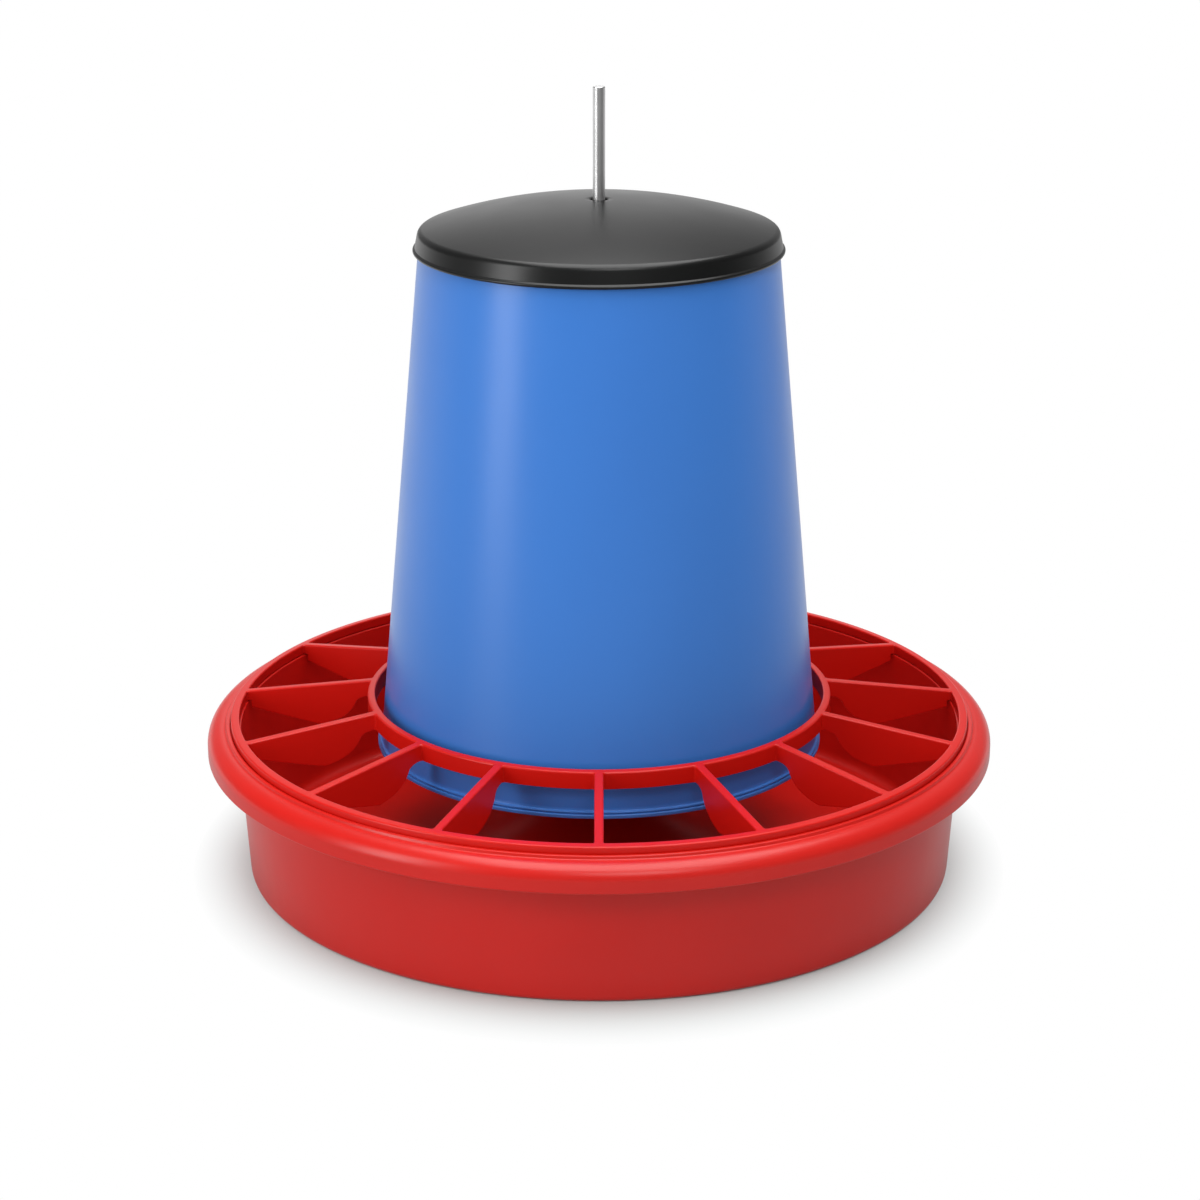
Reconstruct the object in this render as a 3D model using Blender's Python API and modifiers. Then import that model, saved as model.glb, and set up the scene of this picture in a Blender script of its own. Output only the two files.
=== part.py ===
"""Poultry feeder: a tapered hopper that pours feed into a round pan under a feeding grid.

Metres, +Z up. The origin is the centre of the pan's underside, where the feeder stands.
A steel rod runs up the middle. The pan is clamped on its foot between two nuts, the hopper
hangs on a clip through it, and the lid slides on it. The feeder stands on the pan or hangs
from the rod's top end.
"""
import math

import bmesh
import bpy
from mathutils import Matrix

# Gap between pieces that touch on the real feeder, and the rounding of moulded edges
SEAT_GAP = 0.0003
EDGE_ROUND = 0.0005

# Pan
RIM_RADIUS = 0.200
PAN_HEIGHT = 0.0784
PAN_FOOT_RADIUS = 0.1803
PAN_WALL_TOP_RADIUS = 0.1853
PAN_WALL = 0.0025
PAN_FLOOR = 0.0030
PAN_FOOT_ROUND = 0.0030
PAN_FLOOR_FILLET = 0.0060
FOOT_RING_WIDTH = 0.014
FOOT_RING_RISE = 0.0012
RIM_WALL = 0.0022
RIM_DEPTH = 0.0151
RIM_REACH = 0.0117
RIM_BULGE_RISE = 0.0076
RIM_UNDERCUT = 0.0011
LIP_WIDTH = 0.0021
LIP_HEIGHT = 0.0017
LIP_STEP = 0.0013
CONE_BASE_RADIUS = 0.078
CONE_HEIGHT = 0.034
CONE_SAG_RADIUS = 0.0405
CONE_SAG_HEIGHT = 0.0156
HUB_RADIUS = 0.014
HUB_WALL = 0.0030

# Feeding grid
VANE_COUNT = 15
VANE_THICKNESS = 0.0044
VANE_CHAMFER = 0.0005
GRID_OUTER_RING_WIDTH = 0.0045
GRID_OUTER_RING_HEIGHT = 0.0052
GRID_INNER_RING_WIDTH = 0.0038
GRID_INNER_RING_HEIGHT = 0.0092
GRID_RISE = 0.0088
GRID_TOP_FALL = 0.0005
GRID_EDGE = 0.0008
VANE_OVERLAP = 0.0004
VANE_TOP_STEP = 0.0003
VANE_WALL_CLEARANCE = 0.0010
NOTCH_SHELF = 0.0082
NOTCH_SHELF_DROP = 0.0041
NOTCH_SHELF_ROUND = 0.0010
NOTCH_REACH = 0.0265
NOTCH_DEPTH = 0.0163
NOTCH_SAG_WIDTH = 0.0040
NOTCH_SAG_RISE = 0.0030
VANE_FOOT_RISE = 0.0080

# Hopper
HOPPER_FOOT_HEIGHT = 0.0645
HOPPER_LENGTH = 0.2631
HOPPER_FOOT_RADIUS = 0.1118
HOPPER_TOP_RADIUS = 0.0884
HOPPER_WALL = 0.0020
BEAD_REACH = 0.0017
BEAD_HEIGHT = 0.0020
BEAD_FLAT = 0.0014
GROOVE_REACH = 0.0006
GROOVE_HEIGHT = 0.0022
RIDGE_REACH = 0.0011
RIDGE_HEIGHT = 0.0029
RIDGE_TOP = 0.0036
SPIGOT_HEIGHT = 0.0080
SPIGOT_STEP = 0.0022
GRID_HOPPER_CLEARANCE = 0.0010
SPIDER_DROP = 0.0180
SPIDER_HEIGHT = 0.0140
SPIDER_ARM = 0.0030
SPIDER_ARM_DROP = 0.0002
SPIDER_HUB_RADIUS = 0.0090
SPIDER_HUB_EXTRA = 0.0040
SPIDER_ARM_COUNT = 4

# Lid
LID_WALL = 0.0014
LID_DOME_RADIUS = 0.273
LID_SHOULDER_ROUND = 0.0030
LID_SKIRT_HEIGHT = 0.0104
LID_SKIRT_FLARE = 0.0021
LID_BEAD = 0.0006
LID_HOLE_CLEARANCE = 0.0013

# Rod and fastenings
ROD_RADIUS = 0.0030
ROD_ABOVE_LID = 0.0546
ROD_BELOW_HUB = 0.013
ROD_CHAMFER = 0.0005
ROD_HOLE_COUNT = 4
ROD_HOLE_PITCH = 0.012
ROD_BORE_CLEARANCE = 0.0004
WASHER_RADIUS = 0.0090
WASHER_THICKNESS = 0.0016
NUT_ACROSS_FLATS = 0.0100
NUT_HEIGHT = 0.0050
NUT_CHAMFER = 0.0006
CLIP_WIRE_RADIUS = 0.0010
CLIP_LEG = 0.0150
CLIP_TIP = 0.0090
CLIP_TIP_SPREAD = 0.0025
CLIP_EYE_RADIUS = 0.0042
CLIP_EYE_START = -75
CLIP_BOW_START = 45
CLIP_BOW_END = 125

# Facets round the turned pieces, and along the lid's dome
PAN_STEPS = 60
HOPPER_STEPS = 60
LID_STEPS = 48
ROD_STEPS = 24
ROD_HOLE_STEPS = 12
DOME_FACETS = 6

# Colours, linear
PAN_RED = (0.62, 0.018, 0.014)
GRID_RED = (0.66, 0.014, 0.016)
HOPPER_BLUE = (0.045, 0.155, 0.56)
LID_BLACK = (0.022, 0.022, 0.023)
BRIGHT_STEEL = (0.62, 0.63, 0.65)
ZINC_STEEL = (0.55, 0.56, 0.57)

# Heights and radii that several pieces share
seat_radius = RIM_RADIUS - RIM_REACH
ledge_height = PAN_HEIGHT - LIP_HEIGHT
rod_bore = ROD_RADIUS + ROD_BORE_CLEARANCE
hub_under = CONE_HEIGHT - HUB_WALL
bead_radius = HOPPER_FOOT_RADIUS + BEAD_REACH
hopper_top = HOPPER_FOOT_HEIGHT + HOPPER_LENGTH
hopper_shoulder = hopper_top - SPIGOT_HEIGHT
spigot_radius = HOPPER_TOP_RADIUS - SPIGOT_STEP
spider_top = hopper_shoulder - SPIDER_DROP
spider_low = spider_top - SPIDER_HEIGHT
hub_low = spider_low - SPIDER_HUB_EXTRA
hopper_washer_top = hub_low - SEAT_GAP
clip_height = hopper_washer_top - WASHER_THICKNESS - SEAT_GAP - CLIP_WIRE_RADIUS


def dome_drop(radius, dome_radius):
    """How far a dome falls below its crown at a radius."""
    return dome_radius - math.sqrt(dome_radius ** 2 - radius ** 2)


lid_under_crown = hopper_top + SEAT_GAP + dome_drop(spigot_radius, LID_DOME_RADIUS - LID_WALL)
lid_crown = lid_under_crown + LID_WALL
rod_top = lid_crown + ROD_ABOVE_LID
rod_low = hub_under - ROD_BELOW_HUB


def clear_scene():
    for item in list(bpy.data.objects):
        bpy.data.objects.remove(item, do_unlink=True)


def collection(name, hidden=False):
    group = bpy.data.collections.new(name)
    bpy.context.scene.collection.children.link(group)
    group.hide_render = hidden
    return group


def finish(name, color, roughness, metallic=0.0):
    made = bpy.data.materials.new(name)
    made.use_nodes = True
    shader = made.node_tree.nodes["Principled BSDF"]
    shader.inputs["Base Color"].default_value = (*color, 1.0)
    shader.inputs["Roughness"].default_value = roughness
    shader.inputs["Metallic"].default_value = metallic
    made.diffuse_color = (*color, 1.0)
    return made


def arc(centre, radii, start, end, count):
    """Points on an ellipse round centre, from start to end in degrees, ends included."""
    points = []
    for i in range(count + 1):
        angle = math.radians(start + (end - start) * i / count)
        points.append((centre[0] + radii[0] * math.cos(angle), centre[1] + radii[1] * math.sin(angle)))
    return points


def bend(start, control, end, count):
    """Points on a quadratic curve from start to end, pulled towards control, ends included."""
    points = []
    for i in range(count + 1):
        t = i / count
        weights = ((1 - t) ** 2, 2 * t * (1 - t), t ** 2)
        points.append(tuple(sum(w * p[k] for w, p in zip(weights, (start, control, end))) for k in (0, 1)))
    return points


def turned(name, profile, steps, group, closed=True):
    """A profile of (radius, height) points spun round the Z axis."""
    mesh = bpy.data.meshes.new(name)
    edges = [(i, i + 1) for i in range(len(profile) - 1)]
    if closed:
        edges.append((len(profile) - 1, 0))
    mesh.from_pydata([(r, 0.0, z) for r, z in profile], edges, [])
    made = bpy.data.objects.new(name, mesh)
    group.objects.link(made)
    screw = made.modifiers.new("spin", "SCREW")
    screw.axis = "Z"
    screw.angle = math.tau
    screw.steps = steps
    screw.render_steps = steps
    screw.use_merge_vertices = True
    screw.merge_threshold = 0.00001
    screw.use_smooth_shade = False
    return made


def boolean(target, other, operation):
    modifier = target.modifiers.new(operation.lower(), "BOOLEAN")
    modifier.operation = operation
    modifier.solver = "EXACT"
    modifier.object = other
    return modifier


def as_cutter(item):
    item.hide_render = True
    item.display_type = "WIRE"
    return item


def mesh_object(name, bm, group):
    mesh = bpy.data.meshes.new(name)
    bm.to_mesh(mesh)
    bm.free()
    made = bpy.data.objects.new(name, mesh)
    group.objects.link(made)
    return made


def cylinder(name, radius, length, matrix, group, segments):
    bm = bmesh.new()
    bmesh.ops.create_cone(bm, cap_ends=True, segments=segments, radius1=radius, radius2=radius,
                          depth=length, matrix=matrix)
    return mesh_object(name, bm, group)


def wall_radius(height):
    """Outer radius of the pan's wall, which leans out towards the rim."""
    lean = (PAN_WALL_TOP_RADIUS - PAN_FOOT_RADIUS) / ledge_height
    return PAN_FOOT_RADIUS + lean * height


def pan_profile():
    """Section of the pan: rim, wall, foot ring, hollow feed cone, then back along the inside."""
    bulge_start = seat_radius + LIP_WIDTH + LIP_STEP
    bulge_centre = ledge_height - RIM_BULGE_RISE
    bulge_width = RIM_RADIUS - bulge_start
    skirt_low = PAN_HEIGHT - RIM_DEPTH
    skirt_inside = RIM_RADIUS - RIM_WALL
    under_top = ledge_height - RIM_WALL
    ring_inner = PAN_FOOT_RADIUS - FOOT_RING_WIDTH
    wall_inside = wall_radius(ledge_height) - PAN_WALL
    fillet_height = PAN_FLOOR + PAN_FLOOR_FILLET
    fillet_radius = wall_radius(fillet_height) - PAN_WALL - PAN_FLOOR_FILLET
    lip = [
        (seat_radius, PAN_HEIGHT - EDGE_ROUND),
        (seat_radius + EDGE_ROUND, PAN_HEIGHT),
        (seat_radius + LIP_WIDTH - EDGE_ROUND, PAN_HEIGHT),
        (seat_radius + LIP_WIDTH, PAN_HEIGHT - EDGE_ROUND),
    ]
    bulge = arc((bulge_start, bulge_centre), (bulge_width, RIM_BULGE_RISE), 90, 0, 5)
    skirt = [
        (RIM_RADIUS, skirt_low + EDGE_ROUND),
        (RIM_RADIUS - EDGE_ROUND, skirt_low),
        (skirt_inside, skirt_low),
    ]
    channel = bend((skirt_inside, bulge_centre), (skirt_inside, under_top),
                   (bulge_start - RIM_WALL, under_top), 2)
    wall_top = [
        (wall_radius(under_top) + RIM_UNDERCUT, under_top),
        (wall_radius(under_top), under_top - RIM_UNDERCUT),
    ]
    foot = arc((wall_radius(PAN_FOOT_ROUND) - PAN_FOOT_ROUND, PAN_FOOT_ROUND),
               (PAN_FOOT_ROUND, PAN_FOOT_ROUND), 0, -90, 2)
    ring = [
        (ring_inner, 0.0),
        (ring_inner - FOOT_RING_RISE, FOOT_RING_RISE),
    ]
    cone_inside = bend((CONE_BASE_RADIUS, FOOT_RING_RISE),
                       (CONE_SAG_RADIUS - PAN_WALL, CONE_SAG_HEIGHT - PAN_WALL),
                       (HUB_RADIUS, hub_under), 3)
    hub = [
        (rod_bore, hub_under),
        (rod_bore, CONE_HEIGHT),
    ]
    cone_outside = bend((HUB_RADIUS, CONE_HEIGHT), (CONE_SAG_RADIUS, CONE_SAG_HEIGHT),
                        (CONE_BASE_RADIUS + HUB_WALL, PAN_FLOOR), 4)
    corner = arc((fillet_radius, fillet_height), (PAN_FLOOR_FILLET, PAN_FLOOR_FILLET), -90, 0, 2)
    ledge = [
        (wall_inside, ledge_height - EDGE_ROUND),
        (wall_inside + EDGE_ROUND, ledge_height),
        (seat_radius, ledge_height),
    ]
    outside = lip + bulge + skirt + channel + wall_top + foot
    return outside + ring + cone_inside + hub + cone_outside + corner + ledge


def make_pan(parts):
    pan = turned("pan", pan_profile(), PAN_STEPS, parts)
    pan.data.materials.append(finish("pan_red", PAN_RED, 0.28))


grid_outer_radius = seat_radius - SEAT_GAP
grid_outer_inside = grid_outer_radius - GRID_OUTER_RING_WIDTH
grid_low = ledge_height + SEAT_GAP
grid_outer_top = grid_low + GRID_OUTER_RING_HEIGHT
grid_inner_radius = bead_radius + GRID_HOPPER_CLEARANCE
grid_inner_outside = grid_inner_radius + GRID_INNER_RING_WIDTH
grid_inner_top = grid_outer_top + GRID_RISE
grid_inner_low = grid_inner_top - GRID_INNER_RING_HEIGHT


def ring_profile(inner, outer, low, top):
    """Section of a grid ring, with its top falling outwards and its top edges rounded."""
    round_radii = (GRID_EDGE, GRID_EDGE)
    outer_edge = arc((outer - GRID_EDGE, top - GRID_TOP_FALL - GRID_EDGE), round_radii, 90, 0, 2)
    inner_edge = arc((inner + GRID_EDGE, top - GRID_EDGE), round_radii, 180, 90, 2)
    return outer_edge + [(outer, low), (inner, low)] + inner_edge


def vane_outline():
    """One vane from the side, as (radius, height): a straight top, and a notch under its inner end."""
    inner = 0.5 * (grid_inner_radius + grid_inner_outside)
    outer = 0.5 * (grid_outer_radius + grid_outer_inside)
    wall_stop = wall_radius(grid_low - VANE_FOOT_RISE) - PAN_WALL - VANE_WALL_CLEARANCE
    inner_foot = grid_inner_low + VANE_OVERLAP
    outer_foot = grid_low + VANE_OVERLAP
    shelf = (grid_inner_outside + NOTCH_SHELF, grid_inner_low - NOTCH_SHELF_DROP)
    deepest = (grid_inner_outside + NOTCH_REACH, grid_inner_low - NOTCH_DEPTH)
    corner = bend((grid_inner_outside, inner_foot),
                  (shelf[0] - NOTCH_SHELF_ROUND, grid_inner_low - VANE_OVERLAP), shelf, 3)
    sweep = bend(shelf, (shelf[0] + NOTCH_SAG_WIDTH, deepest[1] + NOTCH_SAG_RISE), deepest, 5)[1:]
    foot = [
        (wall_stop, deepest[1] + VANE_FOOT_RISE),
        (wall_stop, outer_foot),
        (outer, outer_foot),
    ]
    top = [
        (outer, grid_outer_top - VANE_TOP_STEP),
        (inner, grid_inner_top - GRID_TOP_FALL - VANE_TOP_STEP),
        (inner, inner_foot),
    ]
    return corner + sweep + foot + top


def make_vanes(cutters):
    """All vanes as one mesh of separate closed bodies: a flat outline with thickness, turned round."""
    outline = bpy.data.curves.new("vane_outline", "CURVE")
    outline.dimensions = "2D"
    outline.fill_mode = "BOTH"
    outline.extrude = VANE_THICKNESS / 2 - VANE_CHAMFER
    outline.bevel_depth = VANE_CHAMFER
    outline.bevel_resolution = 0
    outline.offset = -VANE_CHAMFER
    points = vane_outline()
    spline = outline.splines.new("POLY")
    spline.points.add(len(points) - 1)
    for point, (r, z) in zip(spline.points, points):
        point.co = (r, z, 0.0, 1.0)
    spline.use_cyclic_u = True
    flat = bpy.data.objects.new("vane_outline", outline)
    cutters.objects.link(flat)
    bpy.context.view_layer.update()
    mesh = bpy.data.meshes.new_from_object(flat.evaluated_get(bpy.context.evaluated_depsgraph_get()))
    upright = Matrix.Rotation(math.radians(90), 4, "X")
    bm = bmesh.new()
    for k in range(VANE_COUNT):
        turn = Matrix.Rotation(-math.pi / 2 + math.tau * k / VANE_COUNT, 4, "Z")
        start = len(bm.verts)
        bm.from_mesh(mesh)
        bm.verts.ensure_lookup_table()
        bmesh.ops.transform(bm, matrix=turn @ upright, verts=bm.verts[start:])
    bmesh.ops.remove_doubles(bm, verts=bm.verts, dist=0.00001)
    bpy.data.objects.remove(flat)
    return as_cutter(mesh_object("vanes", bm, cutters))


def make_grid(parts, cutters):
    """Outer ring, vanes and inner ring, moulded in one piece."""
    outer = ring_profile(grid_outer_inside, grid_outer_radius, grid_low, grid_outer_top)
    inner = ring_profile(grid_inner_radius, grid_inner_outside, grid_inner_low, grid_inner_top)
    grid = turned("grid", outer, PAN_STEPS, parts)
    inner_ring = as_cutter(turned("grid_inner_ring", inner, PAN_STEPS, cutters))
    boolean(grid, make_vanes(cutters), "UNION")
    boolean(grid, inner_ring, "UNION")
    grid.data.materials.append(finish("grid_red", GRID_RED, 0.26))


def hopper_radius(height):
    """Outer radius of the hopper's wall, which narrows from foot to shoulder."""
    share = (height - HOPPER_FOOT_HEIGHT) / (hopper_shoulder - HOPPER_FOOT_HEIGHT)
    return HOPPER_FOOT_RADIUS + share * (HOPPER_TOP_RADIUS - HOPPER_FOOT_RADIUS)


def hopper_profile():
    """Section of the hopper wall: spigot for the lid, tapered wall, ridge and bead at the foot."""
    foot = HOPPER_FOOT_HEIGHT
    spigot_inside = spigot_radius - HOPPER_WALL
    foot_inside = HOPPER_FOOT_RADIUS - HOPPER_WALL
    spigot = [
        (spigot_inside + EDGE_ROUND, hopper_top),
        (spigot_radius - EDGE_ROUND, hopper_top),
        (spigot_radius, hopper_top - EDGE_ROUND),
        (spigot_radius, hopper_shoulder + EDGE_ROUND),
        (HOPPER_TOP_RADIUS - EDGE_ROUND, hopper_shoulder + EDGE_ROUND),
        (HOPPER_TOP_RADIUS, hopper_shoulder - EDGE_ROUND),
    ]
    bead = [
        (hopper_radius(foot + RIDGE_TOP), foot + RIDGE_TOP),
        (HOPPER_FOOT_RADIUS + RIDGE_REACH, foot + RIDGE_HEIGHT),
        (HOPPER_FOOT_RADIUS + GROOVE_REACH, foot + GROOVE_HEIGHT),
        (bead_radius - EDGE_ROUND, foot + BEAD_HEIGHT),
        (bead_radius, foot + BEAD_FLAT),
        (bead_radius, foot + EDGE_ROUND),
        (bead_radius - EDGE_ROUND, foot),
    ]
    inside = [
        (foot_inside + EDGE_ROUND, foot),
        (foot_inside, foot + EDGE_ROUND),
        (HOPPER_TOP_RADIUS - HOPPER_WALL, hopper_shoulder - HOPPER_WALL),
        (spigot_inside, hopper_shoulder),
        (spigot_inside, hopper_top - EDGE_ROUND),
    ]
    return spigot + bead + inside


def make_spider(cutters):
    """The cross inside the hopper's mouth, whose hub rides on the rod."""
    hub = as_cutter(turned("spider", [
        (rod_bore, spider_top),
        (SPIDER_HUB_RADIUS, spider_top),
        (SPIDER_HUB_RADIUS, hub_low),
        (rod_bore, hub_low),
    ], ROD_STEPS, cutters))
    reach = hopper_radius(spider_top) - 0.5 * HOPPER_WALL
    start = 0.5 * (SPIDER_HUB_RADIUS + rod_bore)
    middle = 0.5 * (spider_top + spider_low) - SPIDER_ARM_DROP
    place = Matrix.Translation((0.5 * (start + reach), 0.0, middle))
    size = Matrix.Diagonal((reach - start, SPIDER_ARM, SPIDER_HEIGHT, 1.0))
    bm = bmesh.new()
    for k in range(SPIDER_ARM_COUNT):
        turn = Matrix.Rotation(math.tau * (k + 0.5) / SPIDER_ARM_COUNT, 4, "Z")
        bmesh.ops.create_cube(bm, size=1.0, matrix=turn @ place @ size)
    arms = as_cutter(mesh_object("spider_arms", bm, cutters))
    boolean(hub, arms, "UNION")
    return hub


def make_hopper(parts, cutters):
    hopper = turned("hopper", hopper_profile(), HOPPER_STEPS, parts)
    boolean(hopper, make_spider(cutters), "UNION")
    hopper.data.materials.append(finish("hopper_blue", HOPPER_BLUE, 0.32))


def lid_profile():
    """Section of the lid: dome, rounded shoulder, flared skirt with a bead, and the same inside."""
    hole = ROD_RADIUS + LID_HOLE_CLEARANCE
    centre = lid_crown - LID_DOME_RADIUS
    inner_dome = LID_DOME_RADIUS - LID_WALL
    lean = LID_SKIRT_FLARE / LID_SKIRT_HEIGHT

    def dome(radius, dome_radius):
        return (radius, centre + math.sqrt(dome_radius ** 2 - radius ** 2))

    def dome_run(start, end, dome_radius):
        return [dome(start + (end - start) * i / DOME_FACETS, dome_radius) for i in range(DOME_FACETS + 1)]

    shoulder = dome(HOPPER_TOP_RADIUS, LID_DOME_RADIUS)
    turn_low = shoulder[1] - LID_SHOULDER_ROUND
    skirt_low = shoulder[1] - LID_SKIRT_HEIGHT
    skirt_radius = HOPPER_TOP_RADIUS + LID_SKIRT_FLARE
    turn_width = lean * LID_SHOULDER_ROUND
    inner_shoulder = HOPPER_TOP_RADIUS - LID_WALL
    outside = dome_run(hole, HOPPER_TOP_RADIUS - LID_SHOULDER_ROUND, LID_DOME_RADIUS)
    outside += bend(outside[-1], shoulder, (HOPPER_TOP_RADIUS + turn_width, turn_low), 4)[1:]
    bead = arc((skirt_radius, skirt_low + LID_BEAD), (LID_BEAD, LID_BEAD), 120, -90, 4)
    inside = [
        (skirt_radius - LID_WALL, skirt_low),
        (inner_shoulder + turn_width, turn_low),
    ]
    return outside + bead + inside + dome_run(inner_shoulder - EDGE_ROUND, hole, inner_dome)


def make_lid(parts):
    lid = turned("lid", lid_profile(), LID_STEPS, parts)
    lid.data.materials.append(finish("lid_black", LID_BLACK, 0.42))


def make_rod(parts, cutters):
    """The hanging rod, with cross holes that set how far the hopper stands above the pan."""
    rod = turned("hanger_rod", [
        (0.0, rod_top),
        (ROD_RADIUS - ROD_CHAMFER, rod_top),
        (ROD_RADIUS, rod_top - ROD_CHAMFER),
        (ROD_RADIUS, rod_low + ROD_CHAMFER),
        (ROD_RADIUS - ROD_CHAMFER, rod_low),
        (0.0, rod_low),
    ], ROD_STEPS, parts, closed=False)
    bm = bmesh.new()
    hole = CLIP_WIRE_RADIUS + SEAT_GAP
    sideways = Matrix.Rotation(math.pi / 2, 4, "Y")
    for k in range(ROD_HOLE_COUNT):
        place = Matrix.Translation((0.0, 0.0, clip_height - k * ROD_HOLE_PITCH))
        bmesh.ops.create_cone(bm, cap_ends=True, segments=ROD_HOLE_STEPS, radius1=hole, radius2=hole,
                              depth=4 * ROD_RADIUS, matrix=place @ sideways)
    boolean(rod, as_cutter(mesh_object("rod_holes", bm, cutters)), "DIFFERENCE")
    rod.data.materials.append(finish("rod_steel", BRIGHT_STEEL, 0.22, 1.0))


def make_washer(name, low, parts, steel):
    washer = turned(name, [
        (rod_bore, low + WASHER_THICKNESS),
        (WASHER_RADIUS, low + WASHER_THICKNESS),
        (WASHER_RADIUS, low),
        (rod_bore, low),
    ], ROD_STEPS, parts)
    washer.data.materials.append(steel)


def make_nut(name, low, parts, cutters, steel):
    """A hexagon nut: a chamfered disc with a hole, kept where a hexagonal bar runs through it."""
    corner = NUT_ACROSS_FLATS / math.sqrt(3)
    top = low + NUT_HEIGHT
    nut = turned(name, [
        (rod_bore, top),
        (corner - 2 * NUT_CHAMFER, top),
        (corner + NUT_CHAMFER, top - 2 * NUT_CHAMFER),
        (corner + NUT_CHAMFER, low + 2 * NUT_CHAMFER),
        (corner - 2 * NUT_CHAMFER, low),
        (rod_bore, low),
    ], ROD_STEPS, parts)
    middle = Matrix.Translation((0.0, 0.0, low + 0.5 * NUT_HEIGHT))
    bar = as_cutter(cylinder(name + "_bar", corner, 2 * NUT_HEIGHT, middle, cutters, 6))
    boolean(nut, bar, "INTERSECT")
    nut.data.materials.append(steel)


def clip_path():
    """The spring clip from above: a leg through the rod, an eye, and a bowed leg round the rod."""
    wrap = ROD_RADIUS + CLIP_WIRE_RADIUS + SEAT_GAP
    leg = [(-CLIP_TIP, 0.0), (0.0, 0.0), (CLIP_LEG, 0.0)]
    eye = arc((CLIP_LEG, CLIP_EYE_RADIUS), (CLIP_EYE_RADIUS, CLIP_EYE_RADIUS), CLIP_EYE_START, 90, 8)
    bow = arc((0.0, 0.0), (wrap, wrap), CLIP_BOW_START, CLIP_BOW_END, 5)
    back = bend(eye[-1], (0.5 * CLIP_LEG, 2 * CLIP_EYE_RADIUS), bow[0], 5)[1:-1]
    tip = [(-CLIP_TIP, bow[-1][1] + CLIP_TIP_SPREAD)]
    return leg + eye + back + bow + tip


def make_clip(parts, steel):
    wire = bpy.data.curves.new("hopper_clip", "CURVE")
    wire.dimensions = "3D"
    wire.bevel_depth = CLIP_WIRE_RADIUS
    wire.bevel_resolution = 2
    wire.use_fill_caps = True
    path = clip_path()
    spline = wire.splines.new("POLY")
    spline.points.add(len(path) - 1)
    for point, (x, y) in zip(spline.points, path):
        point.co = (x, y, 0.0, 1.0)
    clip = bpy.data.objects.new("hopper_clip", wire)
    parts.objects.link(clip)
    clip.location.z = clip_height
    wire.materials.append(steel)


def main():
    clear_scene()
    parts = collection("poultry_feeder")
    cutters = collection("cutters", hidden=True)
    zinc = finish("zinc_steel", ZINC_STEEL, 0.35, 1.0)
    upper_washer_low = CONE_HEIGHT + SEAT_GAP
    lower_washer_low = hub_under - SEAT_GAP - WASHER_THICKNESS
    make_pan(parts)
    make_grid(parts, cutters)
    make_hopper(parts, cutters)
    make_lid(parts)
    make_rod(parts, cutters)
    make_washer("pan_washer_upper", upper_washer_low, parts, zinc)
    make_washer("pan_washer_lower", lower_washer_low, parts, zinc)
    make_nut("pan_nut_upper", upper_washer_low + WASHER_THICKNESS + SEAT_GAP, parts, cutters, zinc)
    make_nut("pan_nut_lower", lower_washer_low - SEAT_GAP - NUT_HEIGHT, parts, cutters, zinc)
    make_washer("hopper_washer", hopper_washer_top - WASHER_THICKNESS, parts, zinc)
    make_clip(parts, zinc)


main()
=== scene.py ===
# %% [markdown]
# # A poultry feeder in moulded plastic
# Hens eat from a round pan. A tapered hopper stands over the middle of it and keeps it filled,
# a grid of vanes gives each hen her own place, and a domed lid keeps the rain out. A steel rod
# runs up through everything, and carries the feeder when it hangs.
#
# The solid model already has every piece at its real size. This script loads it as a fixed
# frame and makes a finer piece over each solid: rounder edges, a real thread, and the finish
# of each material. Every number is in metres, and Z points up.

# %% Load the solids and keep their size
import math

import bmesh
import bpy
from mathutils import Matrix, Vector


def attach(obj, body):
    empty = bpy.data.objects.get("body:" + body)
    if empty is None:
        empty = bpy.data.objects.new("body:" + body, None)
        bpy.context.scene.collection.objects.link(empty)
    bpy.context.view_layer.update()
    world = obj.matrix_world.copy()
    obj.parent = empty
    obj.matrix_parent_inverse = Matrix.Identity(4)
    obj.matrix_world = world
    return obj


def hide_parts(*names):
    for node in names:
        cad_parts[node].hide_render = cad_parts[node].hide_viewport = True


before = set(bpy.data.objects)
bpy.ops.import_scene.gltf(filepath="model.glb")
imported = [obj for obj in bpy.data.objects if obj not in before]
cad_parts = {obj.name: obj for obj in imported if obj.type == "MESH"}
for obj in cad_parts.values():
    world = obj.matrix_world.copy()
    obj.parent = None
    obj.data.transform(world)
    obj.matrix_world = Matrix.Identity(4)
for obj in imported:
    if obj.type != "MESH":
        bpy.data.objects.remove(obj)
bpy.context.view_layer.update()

# %% [markdown]
# ## A wrapper for shader maths
# A material in Blender is a graph of nodes. Written link by link, even `1 - mask * 0.3` takes
# six lines. `Wire` wraps one output socket and gives it the arithmetic operators, so that an
# expression adds its own Math nodes. `Paint` starts a material, and its `node` method adds any
# other node: it takes the type, the settings, and what goes into each socket.

# %% Sockets with operators, and a builder for materials


class Wire:
    """One output socket. Arithmetic on it adds Math nodes to the same tree."""

    def __init__(self, paint, socket):
        self.paint = paint
        self.socket = socket

    def maths(self, operation, first, second):
        return self.paint.node("ShaderNodeMath", {"operation": operation}, {0: first, 1: second})

    def __add__(self, other):
        return self.maths("ADD", self, other)

    def __radd__(self, other):
        return self.maths("ADD", other, self)

    def __sub__(self, other):
        return self.maths("SUBTRACT", self, other)

    def __rsub__(self, other):
        return self.maths("SUBTRACT", other, self)

    def __mul__(self, other):
        return self.maths("MULTIPLY", self, other)

    def __rmul__(self, other):
        return self.maths("MULTIPLY", other, self)


def socket_called(sockets, key):
    """The socket with this number, identifier or shown name."""
    if isinstance(key, int):
        return sockets[key]
    for socket in sockets:
        if socket.identifier == key:
            return socket
    return next(socket for socket in sockets if socket.name == key and socket.enabled)


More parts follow.
